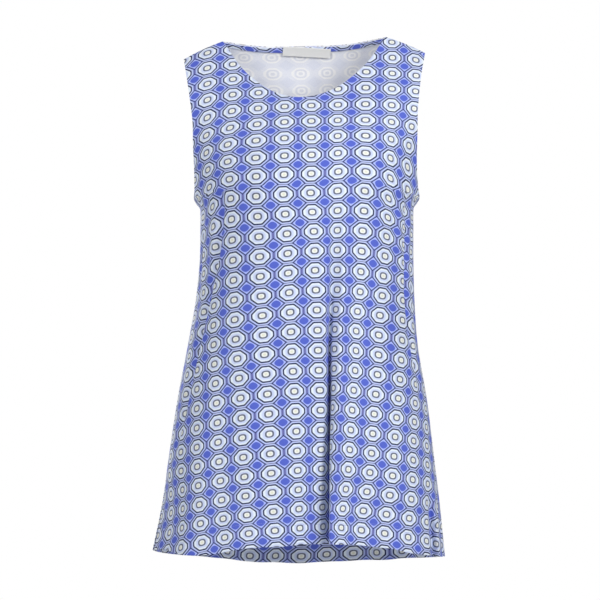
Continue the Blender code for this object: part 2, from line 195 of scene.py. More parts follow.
# Folds run down a panel from rise `top` to rise `foot`. across is their place on the
# half row, from -1 at the left edge to 1 at the right. depth goes into the body and lean
# to the right, both in millimetres as half_width is. reach is 0.5 for a fold that is
# deepest at its foot, 1 for one that fades out there, and wander is how far its line
# sways on the half row. The front's first four lie over one another and make its one deep
# fold: the pocket, the pocket's upper end, the ridge that stands over it on the right,
# and the broad slope into it from the left.
Fold = namedtuple("Fold", "top foot across_top across_foot depth lean half_width reach wander")
FRONT_FOLDS = (
    Fold(344, 0, 0.177, 0.160, 26.6, 7.6, 14.0, 0.5, -0.005),
    Fold(480, 36, 0.177, 0.199, 13.7, -0.4, 12.5, 1.0, -0.004),
    Fold(344, 0, 0.211, 0.215, -8.7, -14.2, 24.1, 0.5, 0.0),
    Fold(278, 0, 0.130, 0.080, 16.0, 0.0, 39.8, 0.5, 0.0),
    Fold(510, 120, -0.570, -0.835, 9.0, 4.0, 9.5, 1.0, 0.010),
    Fold(505, 200, 0.745, 0.80, 7.0, -2.0, 10.0, 1.0, 0.014),
    Fold(160, 0, -0.74, -0.70, 3.0, 0.0, 22.0, 0.5, 0.006),
    Fold(95, 0, 0.78, 0.785, 9.0, 8.0, 12.0, 0.5, 0.0),
    Fold(330, 0, -0.40, -0.45, 3.5, 0.0, 40.0, 0.5, 0.010),
)
BACK_FOLDS = (
    Fold(600, 0, -0.36, -0.44, 12.0, -6.0, 34.0, 0.5, 0.012),
    Fold(520, 0, 0.04, -0.02, 9.0, 3.0, 36.0, 0.5, 0.016),
    Fold(610, 0, 0.38, 0.45, 11.0, 5.0, 32.0, 0.5, 0.010),
    Fold(500, 120, -0.80, -0.77, 6.0, 1.0, 14.0, 1.0, 0.010),
    Fold(480, 60, 0.76, 0.80, 6.5, -1.0, 14.0, 1.0, 0.010),
)

# Small creases placed between the folds, in the same columns. A negative depth
# is a ridge that stands a little proud.
FRONT_CREASES = (
    Fold(505, 330, -0.64, -0.70, -2.0, 0.0, 12.0, 1.0, 0.010),
    Fold(500, 300, -0.85, -0.87, 2.0, 0.0, 9.0, 1.0, 0.010),
    Fold(500, 350, 0.65, 0.69, -2.0, 0.0, 12.0, 1.0, 0.010),
    Fold(490, 280, 0.86, 0.88, 2.0, 0.0, 9.0, 1.0, 0.010),
    Fold(600, 420, -0.55, -0.30, 1.4, 0.0, 18.0, 1.0, 0.010),
    Fold(610, 430, 0.57, 0.36, 1.4, 0.0, 18.0, 1.0, 0.010),
    Fold(700, 560, -0.80, -0.60, 1.2, 0.0, 9.0, 1.0, 0.0),
    Fold(700, 570, 0.78, 0.62, 1.2, 0.0, 9.0, 1.0, 0.0),
    Fold(420, 160, 0.33, 0.36, 1.8, 0.0, 26.0, 1.0, 0.010),
    Fold(400, 120, -0.18, -0.20, 1.8, 0.0, 30.0, 1.0, 0.012),
    Fold(230, 0, 0.42, 0.47, 3.0, 0.0, 28.0, 0.5, 0.008),
    Fold(105, 0, -0.85, -0.84, 12.0, 0.0, 60.0, 0.5, 0.0),
    Fold(95, 0, 0.84, 0.835, -3.0, -4.0, 15.0, 0.5, 0.0),
    Fold(120, 0, 0.93, 0.92, 3.0, 0.0, 12.0, 0.5, 0.004),
)
BACK_CREASES = (
    Fold(520, 300, -0.64, -0.70, -2.0, 0.0, 14.0, 1.0, 0.010),
    Fold(510, 320, 0.64, 0.68, -2.0, 0.0, 14.0, 1.0, 0.010),
    Fold(700, 560, -0.78, -0.60, 1.4, 0.0, 12.0, 1.0, 0.0),
    Fold(690, 570, 0.80, 0.60, 1.4, 0.0, 12.0, 1.0, 0.0),
    Fold(640, 470, -0.30, -0.12, 1.5, 0.0, 20.0, 1.0, 0.010),
    Fold(630, 480, 0.34, 0.16, 1.5, 0.0, 20.0, 1.0, 0.010),
    Fold(260, 0, -0.16, -0.20, 4.0, 0.0, 24.0, 0.5, 0.010),
    Fold(220, 0, 0.20, 0.24, 4.0, 0.0, 24.0, 0.5, 0.010),
    Fold(170, 0, -0.70, -0.66, 4.0, 0.0, 20.0, 0.5, 0.006),
    Fold(180, 0, 0.68, 0.70, 4.0, 0.0, 20.0, 0.5, 0.006),
)

# How far the hem of the worn cloth hangs below its even row, at each place across. It
# fades out over HEM_REACH of the cloth above the hem.
HEM_REACH = 200.0
Hem = namedtuple("Hem", "across drop")
FRONT_HEM = (
    Hem(-1.0, 0.0),
    Hem(-0.9, 0.0),
    Hem(-0.8, 3.0),
    Hem(-0.7, 8.0),
    Hem(-0.6, 11.5),
    Hem(-0.5, 13.0),
    Hem(-0.4, 11.0),
    Hem(-0.3, 7.5),
    Hem(-0.2, 6.5),
    Hem(-0.1, 6.5),
    Hem(0.0, 5.0),
    Hem(0.1, 4.0),
    Hem(0.2, 0.0),
    Hem(0.3, 0.0),
    Hem(0.4, 1.0),
    Hem(0.5, 1.5),
    Hem(0.6, 5.0),
    Hem(0.7, 5.5),
    Hem(0.8, 5.5),
    Hem(0.9, 5.0),
    Hem(1.0, 2.5),
)
BACK_HEM = (
    Hem(-1.0, 0.0),
    Hem(-0.6, 0.0),
    Hem(-0.4, -1.0),
    Hem(-0.3, 2.0),
    Hem(-0.1, 1.0),
    Hem(0.1, 0.0),
    Hem(0.6, 0.0),
    Hem(0.9, 2.0),
    Hem(1.0, 2.5),
)

# How the print lies on a panel. Its middle column passes at a length along the row, from
# across = ROW_START, that Start gives at each rise. Lay says how many millimetres the
# print has drifted there, at some of its columns, because the cloth was cut and hung a
# little off the straight.
ROW_START = -0.1
Start = namedtuple("Start", "rise length")
FRONT_START = (
    Start(0, 13.8),
    Start(60, 5.0),
    Start(120, 0.8),
    Start(180, -3.0),
    Start(240, -8.6),
    Start(300, -13.8),
    Start(360, -20.5),
    Start(420, -24.6),
    Start(480, -29.6),
    Start(540, -29.6),
    Start(600, -29.3),
    Start(660, -28.0),
    Start(730, -28.0),
)
BACK_START = (
    Start(0, 30.0),
    Start(384, 24.0),
    Start(768, 18.0),
)
LAY_COLUMNS = (-6, -4, -2, 0, 2, 3, 4, 6, 8)
Lay = namedtuple("Lay", "rise left_6 left_4 left_2 middle right_2 right_3 right_4 right_6 right_8")
FRONT_UP = (
    Lay(0, -28, -20, -9, -4, 0, 4, 0, -4, -10),
    Lay(60, -28, -20, -11, -5, 0, 2, 0, -5, -11),
    Lay(120, -28, -20, -11, -5, 0, 4, 0, -4, -12),
    Lay(240, -25, -18, -8, -2, 2, 5, 2, -4, -12),
    Lay(360, -22, -14, -4, -1, 5, 6, 4, 0, -8),
    Lay(420, -20, -12, -1, 0, 5, 8, 7, -4, -12),
    Lay(480, -18, -12, 3, 2, 4, 9, 9, -8, -16),
    Lay(540, -18, -14, 3, 4, 4, 8, 8, -4, -12),
    Lay(600, -18, -12, 4, 5, 4, 5, 6, 0, -8),
    Lay(660, -18, -12, 5, 5, 5, 10, 9, 2, -4),
    Lay(730, -18, -12, 4, 5, 6, 16, 14, 8, 0),
)
FRONT_SIDEWAYS = (
    Lay(0, -6, 7, 3, 0, -2, 1, -10, -14, -16),
    Lay(60, 6, 7, 1, 0, 0, 7, -2, -7, -10),
    Lay(120, 4, 3, -1, 0, 0, 9, 3, -4, -7),
    Lay(240, 2, 0, -3, 0, 0, 8, 1, 4, 4),
    Lay(300, -4, -4, -6, 0, 0, 2, -4, 8, 8),
    Lay(360, -8, -6, -7, 0, 0, 0, -3, 5, 5),
    Lay(420, -14, -14, -9, 0, 0, -3, 0, 6, 6),
    Lay(480, -12, -12, -7, 0, 1, 2, 6, 10, 10),
    Lay(540, -4, -4, -9, 0, 1, 0, 6, 0, 0),
    Lay(600, 0, 0, -1, 0, 0, 0, 3, 0, 0),
    Lay(730, 0, 0, 0, 0, 0, 4, 6, 0, 0),
)
BACK_UP = (
    Lay(0, 0, 0, 0, 0, 0, 0, 0, 0, 0),
    Lay(384, -9, -7, -6, -5, -6, -6, -7, -9, -12),
    Lay(768, -18, -17, -16, -16, -16, -16, -17, -18, -19),
)
BACK_SIDEWAYS = (
    Lay(0, -6, -5, -2, 1, 6, 9.6, 12, 14, 14),
    Lay(384, 3, 2, 0, 0, 0, 1, 2, 3, 4),
    Lay(768, -24, -20, -14, -6.5, -5, -5, -5, -5, -5),
)

# The print repeat, in millimetres on the cloth: stretched octagons in rows, with a
# diamond in every gap between four of them.
REPEAT_ACROSS = 36.8
REPEAT_UP = 26.4
FRONT_PRINT = (0.0, 8.0)  # a diamond's place across and up
BACK_PRINT = (18.4, 2.2)
BAND_PRINT = (11.0, 13.2)  # how far off the back's own print the neck band was cut

# A panel: its lines, its folds, which way it faces, and its cut at neck and shoulder.
# neck_rise is the neckline's lowest point, point_rise and tip_rise the two ends of the
# shoulder seam, neck_curve how the neckline climbs to the left and to the right,
# neck_shift its low point's place across, and parting how far up the neckline the grid
# parts into two straps. crowding is how much closer the columns stand at the first fold.
# The columns and rows are counts of cells, and the rest are the panel's tables.
Panel = namedtuple(
    "Panel",
    "centre seam armhole folds facing neck_rise point_rise tip_rise neck_curve neck_shift parting "
    "crowding side_columns neck_columns body_rows chest_rows strap_rows hem start up sideways print_at",
)
FRONT = Panel(
    centre=FRONT_CENTRE,
    seam=FRONT_SEAM,
    armhole=FRONT_ARMHOLE,
    folds=FRONT_FOLDS + FRONT_CREASES,
    facing=-1,
    neck_rise=622,
    point_rise=730,
    tip_rise=704,
    neck_curve=(1.9, 2.2),
    neck_shift=-0.035,
    parting=0.45,
    crowding=3.0,
    side_columns=50,
    neck_columns=92,
    body_rows=120,
    chest_rows=54,
    strap_rows=26,
    hem=FRONT_HEM,
    start=FRONT_START,
    up=FRONT_UP,
    sideways=FRONT_SIDEWAYS,
    print_at=FRONT_PRINT,
)
BACK = Panel(
    centre=BACK_CENTRE,
    seam=BACK_SEAM,
    armhole=BACK_ARMHOLE,
    folds=BACK_FOLDS + BACK_CREASES,
    facing=1,
    neck_rise=756,
    point_rise=768,
    tip_rise=734,
    neck_curve=(2.6, 2.6),
    neck_shift=0.0,
    parting=1.0,
    crowding=0.0,
    side_columns=32,
    neck_columns=96,
    body_rows=120,
    chest_rows=72,
    strap_rows=0,
    hem=BACK_HEM,
    start=BACK_START,
    up=BACK_UP,
    sideways=BACK_SIDEWAYS,
    print_at=BACK_PRINT,
)


def smooth(keys, values, at):
    """A smooth curve through a table's values, read at any key."""
    keys, values = np.asarray(keys, float), np.asarray(values, float)
    slopes = np.gradient(values, keys)
    low = np.clip(np.searchsorted(keys, at) - 1, 0, len(keys) - 2)
    span = keys[low + 1] - keys[low]
    f = (at - keys[low]) / span
    start = (1 + 2 * f) * (1 - f) ** 2 * values[low] + f * (1 - f) ** 2 * span * slopes[low]
    end = f**2 * (3 - 2 * f) * values[low + 1] + f**2 * (f - 1) * span * slopes[low + 1]
    return start + end


def read(table, name, at, key=None):
    """A column of a table by its key column, or by row number where none is named."""
    keys = [getattr(row, key) for row in table] if key else range(len(table))
    return smooth(keys, [getattr(row, name) for row in table], at)


def edge_at(panel, level, name):
    """The edge at a level: 0 at the hem, and one more at each row of its tables."""
    armpit = len(panel.seam) - 1
    on_seam = read(panel.seam, name, np.minimum(level, armpit))
    on_armhole = read(panel.armhole, name, np.maximum(level - armpit, 0.0))
    return np.where(level <= armpit, on_seam, on_armhole)


def level_of(panel, rise):
    """The level whose row lies at a rise."""
    levels = np.linspace(0, len(panel.seam) + len(panel.armhole) - 2, LEVEL_SAMPLES)
    return np.interp(rise, edge_at(panel, levels, "rise"), levels)


def run_and_back(turn, bend, u):
    """How far a row has gone sideways and back at u, when its angle is turn * u ** bend.

    These are the power series of the integrals of the angle's cosine and sine.
    """
    run, back = 0.0, 0.0
    for i in range(SERIES_TERMS):
        even, odd = 2 * i, 2 * i + 1
        for_run = (-1) ** i * turn**even / (math.factorial(even) * (even * bend + 1))
        for_back = (-1) ** i * turn**odd / (math.factorial(odd) * (odd * bend + 1))
        run = run + for_run * u ** (even * bend + 1)
        back = back + for_back * u ** (odd * bend + 1)
    return run, back


def plain_surface(panel, across, level):
    """Points of a panel without its folds, in millimetres."""
    rise = edge_at(panel, level, "rise")
    centre = {name: read(panel.centre, name, rise, "rise") for name in Centre._fields}
    edge = {name: edge_at(panel, level, name) for name in Edge._fields}
    u, hand = np.abs(across), np.sign(across)
    turn = np.radians(edge["turn"])
    run, back = run_and_back(turn, centre["bend"], u)
    full_run, full_back = run_and_back(turn, centre["bend"], 1.0)
    half_width, middle = (read(SIDE, name, edge["z"], "z") for name in ("half_width", "middle"))
    x = middle + hand * half_width * run / full_run
    y = centre["y"] + (edge["y"] - centre["y"]) * back / full_back + panel.facing * SEAM_GAP / 2
    z = centre["z"] + (edge["z"] - centre["z"]) * u**DROP_CURVE + centre["tilt"] * across
    return np.stack([x, y, z], axis=-1)


def unit(v):
    """Vectors of length one along the given ones."""
    return v / np.linalg.norm(v, axis=-1, keepdims=True)


def folded_surface(panel, across, level):
    """The same points with the panel's folds pressed in."""
    step = 0.004
    place = plain_surface(panel, across, level)
    along = plain_surface(panel, across + step, level) - plain_surface(panel, across - step, level)
    half_row = np.linalg.norm(along, axis=-1) / (2 * step)
    along = unit(along * [1, 1, 0])
    inward = along[..., [1, 0, 2]] * [-1, 1, 0] * -panel.facing
    rise = edge_at(panel, level, "rise")
    for fold in panel.folds:
        down = np.clip((fold.top - rise) / (fold.top - fold.foot), 0, 1)
        wander = fold.wander * np.sin(WANDERS * math.pi * down)
        line = fold.across_top + (fold.across_foot - fold.across_top) * down + wander
        e = np.clip((across - line) * half_row / fold.half_width, -1, 1)
        press = np.sin(math.pi * fold.reach * down) * np.cos(math.pi * e / 2) ** 2
        place = place + (inward * fold.depth + along * fold.lean) * press[..., None]
    return place


def shoulder_seam(panel, across):
    """The line that front and back share at the shoulder."""
    f = (np.abs(across) - NECK_ACROSS) / (1 - NECK_ACROSS)
    x = NECK_HALF + (SHOULDER_HALF - NECK_HALF) * f
    z = NECK_POINT_Z + (TIP_Z - NECK_POINT_Z) * f + SEAM_BOW * 4 * f * (1 - f)
    z = z + SHOULDER_TILT * np.sign(across) * x / SHOULDER_HALF
    x = read(SIDE, "middle", TIP_Z, "z") + np.sign(across) * x
    return np.stack([x, np.full_like(x, panel.facing * SEAM_GAP / 2), z], axis=-1)


def shoulder_rise(panel, strap_share):
    """The shoulder seam's rise, from 0 at the neck to 1 at the tip."""
    return panel.point_rise + (panel.tip_rise - panel.point_rise) * strap_share


def eased(f):
    """A smooth climb from 0 to 1."""
    f = np.clip(f, 0, 1)
    return f**2 * (3 - 2 * f)


def hem_drop(panel, across, rise):
    """How much lower the cloth lies than its even row."""
    return read(panel.hem, "drop", across, "across") * np.clip(1 - rise / HEM_REACH, 0, 1) ** 2


def surface(panel, across, rise):
    """Points of the worn panel, brought to the shared seam at the top of the straps."""
    place = folded_surface(panel, across, level_of(panel, rise))
    hand = np.where(across < 0, -1.0, 1.0)
    on_strap = hand * np.maximum(np.abs(across), NECK_ACROSS)
    top = shoulder_rise(panel, (np.abs(on_strap) - NECK_ACROSS) / (1 - NECK_ACROSS))
    seam_error = shoulder_seam(panel, on_strap) - folded_surface(panel, on_strap, level_of(panel, top))
    outward = (np.abs(across) / NECK_ACROSS - SEAM_START) / (1 - SEAM_START)
    near = eased(1 - (top - rise) / SEAM_REACH) * eased(outward)
    place = place + seam_error * near[..., None]
    place[..., 2] -= hem_drop(panel, across, rise)
    return place


def outward_of(panel, across, rise):
    """The way the cloth faces, as unit vectors."""
    step_across, step_rise = 0.002, 1.0
    by_row = surface(panel, across + step_across, rise) - surface(panel, across - step_across, rise)
    by_rise = surface(panel, across, rise + step_rise) - surface(panel, across, rise - step_rise)
    return unit(np.cross(by_row, by_rise)) * -panel.facing


def inner_surface(panel, across, rise, depth):
    """The panel's points moved in by a depth, but never past the plane of the seams."""
    place = surface(panel, across, rise) - outward_of(panel, across, rise) * depth
    place[..., 1] = panel.facing * np.maximum(panel.facing * place[..., 1], SEAM_GAP / 2)
    return place


def split_rise(panel):
    """The rise at the middle where the grid parts into two straps."""
    return panel.neck_rise + panel.parting * (panel.point_rise - panel.neck_rise)


def neck_across(panel, height, hand):
    """Where the neckline is, at a height from 0 at its lowest point to 1 at the shoulder."""
    climb = panel.neck_curve[hand > 0]
    return hand * NECK_ACROSS * height ** (1 / climb) + panel.neck_shift * (1 - height)


def neck_height(panel, across):
    """The neckline's height above its lowest point, at a place across."""
    heights = np.linspace(0, 1, CURVE_SAMPLES)
    left = np.interp(-across, -neck_across(panel, heights, -1), heights)
    right = np.interp(across, neck_across(panel, heights, 1), heights)
    return np.where(across < panel.neck_shift, left, right)


def crowded(panel, start, end, count):
    """Column places from start to end, closer together around the panel's first fold."""
    places = np.linspace(start, end, CURVE_SAMPLES)
    fold = panel.folds[0]
    line = (fold.across_top + fold.across_foot) / 2
    crowd = 1 + panel.crowding * np.exp(-(((places - line) / CROWDED_SPAN) ** 2))
    passed = np.concatenate([[0], np.cumsum((crowd[1:] + crowd[:-1]) / 2)])
    return np.interp(np.linspace(0, passed[-1], count + 1), passed, places)


def cut_places(panel):
    """Where every point of a panel's grid lies on the cloth: across[column, row] and rise."""
    strap, neck = panel.side_columns, panel.neck_columns
    left, right = neck_across(panel, panel.parting, -1), neck_across(panel, panel.parting, 1)
    middle = crowded(panel, left, right, neck)
    columns = np.concatenate(
        [np.linspace(-1, left, strap + 1)[:-1], middle, np.linspace(right, 1, strap + 1)[1:]]
    )
    split = panel.body_rows + panel.chest_rows
    across = np.repeat(columns[:, None], split + panel.strap_rows + 1, axis=1)
    rise = np.zeros_like(across)
    armpit = len(panel.seam) - 1
    part_rise = split_rise(panel)
    climb = panel.point_rise - part_rise
    outward = np.clip(np.maximum((left - columns) / (left + 1), (columns - right) / (1 - right)), 0, 1)
    strap_foot = part_rise + (panel.tip_rise - climb - part_rise) * outward
    neckline = panel.neck_rise + neck_height(panel, columns) * (panel.point_rise - panel.neck_rise)
    tops = np.where(outward > 0, strap_foot, neckline)
    armpit_rise = panel.armhole[0].rise
    rise[:, : panel.body_rows] = np.linspace(0, armpit_rise, panel.body_rows + 1)[:-1]
    for j, top in enumerate(tops):
        by_edge = edge_at(panel, np.linspace(armpit, level_of(panel, top), panel.chest_rows + 1), "rise")
        even = np.linspace(armpit_rise, top, panel.chest_rows + 1)
        rise[j, panel.body_rows : split + 1] = even + (by_edge - even) * abs(columns[j]) ** EDGE_SHARE
    for i in range(1, panel.strap_rows + 1):
        share = i / panel.strap_rows
        height = panel.parting + (1 - panel.parting) * share
        for hand, first in ((-1, 0), (1, strap + neck)):
            ends = sorted((hand, neck_across(panel, height, hand)))
            cells = slice(first, first + strap + 1)
            across[cells, split + i] = np.linspace(*ends, strap + 1)
            seam = shoulder_rise(panel, outward[cells])
            rise[cells, split + i] = strap_foot[cells] + (seam - strap_foot[cells]) * share
    return across, rise


def row_lengths(panel):
    """The cloth's length along every row from across = ROW_START, on an even grid."""
    columns, rows = LENGTH_SAMPLES
    across, rise = np.linspace(-1, 1, columns), np.linspace(0, panel.point_rise, rows)
    points = surface(panel, *np.meshgrid(across, rise, indexing="ij"))
    steps = np.linalg.norm(np.diff(points, axis=0), axis=-1)
    length = np.concatenate([np.zeros((1, rows)), np.cumsum(steps, axis=0)])
    start = round((ROW_START + 1) / 2 * (columns - 1))
    return length - length[start]


LENGTHS = {panel.facing: row_lengths(panel) for panel in (FRONT, BACK)}


def between(grid, panel, across, rise):
    """A value of an even grid over the panel, at any place."""
    columns, rows = grid.shape
    inside = 1.001  # keeps the last place within the last cell
    i = np.clip((across + 1) / 2 * (columns - 1), 0, columns - inside)
    j = np.clip(rise / panel.point_rise * (rows - 1), 0, rows - inside)
    i0, j0 = np.floor(i).astype(int), np.floor(j).astype(int)
    f, g = i - i0, j - j0
    low = grid[i0, j0] * (1 - f) + grid[i0 + 1, j0] * f
    high = grid[i0, j0 + 1] * (1 - f) + grid[i0 + 1, j0 + 1] * f
    return low * (1 - g) + high * g


def drift(table, column, rise):
    """How far the print has drifted, at a column of its repeat and a rise."""
    column = np.clip(column, LAY_COLUMNS[0], LAY_COLUMNS[-1])
    total = 0.0
    for i, name in enumerate(Lay._fields[1:]):
        share = smooth(LAY_COLUMNS, np.eye(len(LAY_COLUMNS))[i], column)
        total = total + share * read(table, name, rise, "rise")
    return total


def print_place(panel, lengths, across, rise):
    """Where each point of the panel lies on the printed cloth, in millimetres."""
    along = between(lengths, panel, across, rise) - read(panel.start, "length", rise, "rise")
    column = along / REPEAT_ACROSS
    sideways, up = drift(panel.sideways, column, rise), drift(panel.up, column, rise)
    up = up + hem_drop(panel, across, rise)
    return np.stack([along - sideways - panel.print_at[0], rise - up - panel.print_at[1]], axis=-1)


def finished_piece(name, mesh, finishes):
    """The object of a modelled piece, with its materials."""
    data = bpy.data.meshes.new(name)
    mesh.to_mesh(data)
    mesh.free()
    data.shade_smooth()
    for material in finishes:
        data.materials.append(material)
    piece = bpy.data.objects.new(name, data)
    bpy.context.collection.objects.link(piece)
    return piece


def cloth_piece(name, outer, inner, flat, finishes, keep=None):
    """A closed wall of cloth between two grids of points[column, row].

    flat gives each point's place on the printed cloth, and finishes are those of the
    outer side and its edges, and of the inner side.
    """
    columns, rows = outer.shape[0] - 1, outer.shape[1] - 1
    mesh = bmesh.new()
    bmesh.ops.create_grid(mesh, x_segments=columns, y_segments=rows, size=1.0)

    def cell(vertex):
        return round((vertex.co.x + 1) / 2 * columns), round((vertex.co.y + 1) / 2 * rows)

    if keep is not None:
        cut = [face for face in mesh.faces if not keep(*map(min, zip(*map(cell, face.verts))))]
        bmesh.ops.delete(mesh, geom=cut, context="FACES")
    outer_side, outer_faces = list(mesh.verts), set(mesh.faces)
    wall = bmesh.ops.extrude_face_region(mesh, geom=mesh.faces[:], use_keep_orig=True)
    inner_side = [part for part in wall["geom"] if isinstance(part, bmesh.types.BMVert)]
    print_map = mesh.loops.layers.uv.new("print")
    places = {}
    for points, vertices in ((outer, outer_side), (inner, inner_side)):
        for vertex in vertices:
            at = cell(vertex)
            places[vertex] = flat[at] * MM
            vertex.co = points[at] * MM
    inner_set = set(inner_side)
    for face in mesh.faces:
        if face not in outer_faces and all(vertex in inner_set for vertex in face.verts):
            face.material_index = 1
        for loop in face.loops:
            loop[print_map].uv = places[loop.vert]
    bmesh.ops.recalc_face_normals(mesh, faces=mesh.faces[:])
    rims = [
        edge
        for edge in mesh.edges
        if len(edge.link_faces) == 2
        and edge.calc_face_angle() > RIM_ANGLE
        and (edge.verts[0] in inner_set) == (edge.verts[1] in inner_set)
    ]
    bmesh.ops.bevel(
        mesh,
        geom=rims,
        offset=EDGE_ROUND * MM,
        offset_type="OFFSET",
        affect="EDGES",
        segments=2,
        profile=0.5,
        material=-1,
        clamp_overlap=True,
    )
    return finished_piece(name, mesh, finishes)


def make_panel(name, panel, finishes):
    """The front or the back, from the hem to the shoulder seams."""
    across, rise = cut_places(panel)
    strap, neck = panel.side_columns, panel.neck_columns
    split = panel.body_rows + panel.chest_rows

    def keep(column, row):
        return row < split or not strap <= column < strap + neck

    outer, inner = surface(panel, across, rise), inner_surface(panel, across, rise, WALL)
    flat = print_place(panel, LENGTHS[panel.facing], across, rise)
    return cloth_piece(name, outer, inner, flat, finishes, keep)


def make_lining_strip(name, panel, across, rise, layers, flat, finishes):
    """Cloth laid against the inside of a panel, over so many layers turned in before it."""
    depth = WALL + SEAM_GAP + layers * (TURNED_WALL + SEAM_GAP)
    outer = inner_surface(panel, across, rise, depth)
    inner = inner_surface(panel, across, rise, depth + TURNED_WALL)
    return cloth_piece(name, outer, inner, flat, finishes)


def make_hem_turnup(name, panel, finishes):
    """The hem allowance, turned up against the inside of its panel, its print inwards."""
    columns = np.clip(cut_places(panel)[0][:, 0], HEM_END - 1, 1 - HEM_END)
    across, rise = np.meshgrid(columns, np.linspace(HEM_ROLL, HEM_DEPTH, HEM_ROWS), indexing="ij")
    flat = print_place(panel, LENGTHS[panel.facing], across, rise * 0)
    flat[..., 1] -= rise
    return make_lining_strip(name, panel, across, rise, 0, flat, finishes)


def make_neck_band(name, panel, finishes):
    """The back neck edge, turned in against the inside of the back."""
    neck = slice(panel.side_columns, panel.side_columns + panel.neck_columns + 1)
    columns, tops = (places[neck, -1] for places in cut_places(panel))
    columns = np.clip(columns, BAND_END - NECK_ACROSS, NECK_ACROSS - BAND_END)
    down = np.linspace(BAND_DEPTH, HEM_ROLL, BAND_ROWS)
    across = np.repeat(columns[:, None], len(down), axis=1)
    rise = tops[:, None] - down
    flat = print_place(panel, LENGTHS[panel.facing], across, rise)
    flat[..., 1] += 2 * down
    flat += BAND_PRINT
    return make_lining_strip(name, panel, across, rise, 0, flat, finishes)


def make_label(name, panel, finishes):
    """A small woven label laid over the band, hanging below it, with nothing on it."""
    columns, rows = LABEL_CELLS
    x, up = np.meshgrid(
        np.linspace(-LABEL_WIDTH / 2, LABEL_WIDTH / 2, columns + 1),
        np.linspace(-LABEL_HEIGHT, 0, rows + 1),
        indexing="ij",
    )
    along = LABEL_CENTRE + x * math.cos(LABEL_TILT) + up * math.sin(LABEL_TILT)
    drop = up * math.cos(LABEL_TILT) - (x + LABEL_WIDTH / 2) * math.sin(LABEL_TILT)
    middle = np.full(2, panel.neck_rise - LABEL_HEIGHT / 2)
    ends = surface(panel, np.array([-LABEL_PROBE, LABEL_PROBE]), middle)
    half_row = np.linalg.norm(ends[1] - ends[0]) / (2 * LABEL_PROBE)
    rise = panel.neck_rise + LABEL_PROUD + drop
    flat = np.stack([x, up], axis=-1)
    return make_lining_strip(name, panel, along / half_row, rise, 1, flat, finishes)


def linear(code):
    """An sRGB hex colour as the linear colour that a shader socket takes."""
    parts = [int(code[i : i + 2], 16) / 255 for i in (1, 3, 5)]
    return [c / 12.92 if c <= 0.04045 else ((c + 0.055) / 1.055) ** 2.4 for c in parts] + [1.0]


def add(tree, kind, settings=None, links=None):
    """One node of a material, with its settings and what feeds its inputs."""
    node = tree.nodes.new(kind)
    for name, value in (settings or {}).items():
        if isinstance(name, int) or name in node.inputs:
            node.inputs[name].default_value = value
        else:
            setattr(node, name, value)
    for name, source in (links or {}).items():
        tree.links.new(source, node.inputs[name])
    return node


# The print's shapes, in millimetres. Half sizes are across and up.
OCTAGON_HALF = (13.3, 10.2)  # to the octagon's upright and level sides
CORNER_WAY = (0.662, 0.750)  # the way that its slanted sides face
CORNER_FAR = 11.1  # and how far they lie from its middle
CORNER_ROUND = 1.5  # how softly its sides meet
DIAMOND_HALF = (11.0, 9.0)
POOL_HALF = (6.5, 5.0)  # the rounded blue field in a diamond
POOL_POWER = 1.6  # 1 would be a diamond and 2 an ellipse
RING_HALF = (4.9, 3.9)
RING_POWER = 2.6  # 2 would be an ellipse and a high power a box

# The print, worked out as distances in millimetres from the middle of an octagon (from_x,
# from_y) and from the nearest diamond (gap_x, gap_y). Each line is one sum.
Sum = namedtuple("Sum", "name operation first second third", defaults=(0.0, 0.0))
PRINT_SUMS = (
    Sum("column", "MULTIPLY", "u", 1 / MM),
    Sum("row", "MULTIPLY", "v", 1 / MM),
    Sum("gap_x", "PINGPONG", "column", REPEAT_ACROSS / 2),
    Sum("gap_y", "PINGPONG", "row", REPEAT_UP / 2),
    Sum("from_x", "SUBTRACT", REPEAT_ACROSS / 2, "gap_x"),
    Sum("from_y", "SUBTRACT", REPEAT_UP / 2, "gap_y"),
    Sum("past_side", "SUBTRACT", "from_x", OCTAGON_HALF[0]),
    Sum("past_top", "SUBTRACT", "from_y", OCTAGON_HALF[1]),
    Sum("slant_x", "MULTIPLY_ADD", "from_x", CORNER_WAY[0], -CORNER_FAR),
    Sum("past_corner", "MULTIPLY_ADD", "from_y", CORNER_WAY[1], "slant_x"),
    Sum("past_edge", "MAXIMUM", "past_side", "past_top"),
    Sum("octagon", "SMOOTH_MAX", "past_edge", "past_corner", CORNER_ROUND),
    Sum("share_x", "DIVIDE", "gap_x", DIAMOND_HALF[0]),
    Sum("share_y", "DIVIDE", "gap_y", DIAMOND_HALF[1]),
    Sum("diamond", "ADD", "share_x", "share_y"),
    Sum("pool_x", "DIVIDE", "gap_x", POOL_HALF[0]),
    Sum("pool_y", "DIVIDE", "gap_y", POOL_HALF[1]),
    Sum("bent_x", "POWER", "pool_x", POOL_POWER),
    Sum("bent_y", "POWER", "pool_y", POOL_POWER),
    Sum("pool", "ADD", "bent_x", "bent_y"),
    Sum("ring_x", "DIVIDE", "from_x", RING_HALF[0]),
    Sum("ring_y", "DIVIDE", "from_y", RING_HALF[1]),
    Sum("boxed_x", "POWER", "ring_x", RING_POWER),
    Sum("boxed_y", "POWER", "ring_y", RING_POWER),
    Sum("boxed", "ADD", "boxed_x", "boxed_y"),
    Sum("ring", "POWER", "boxed", 1 / RING_POWER),
)

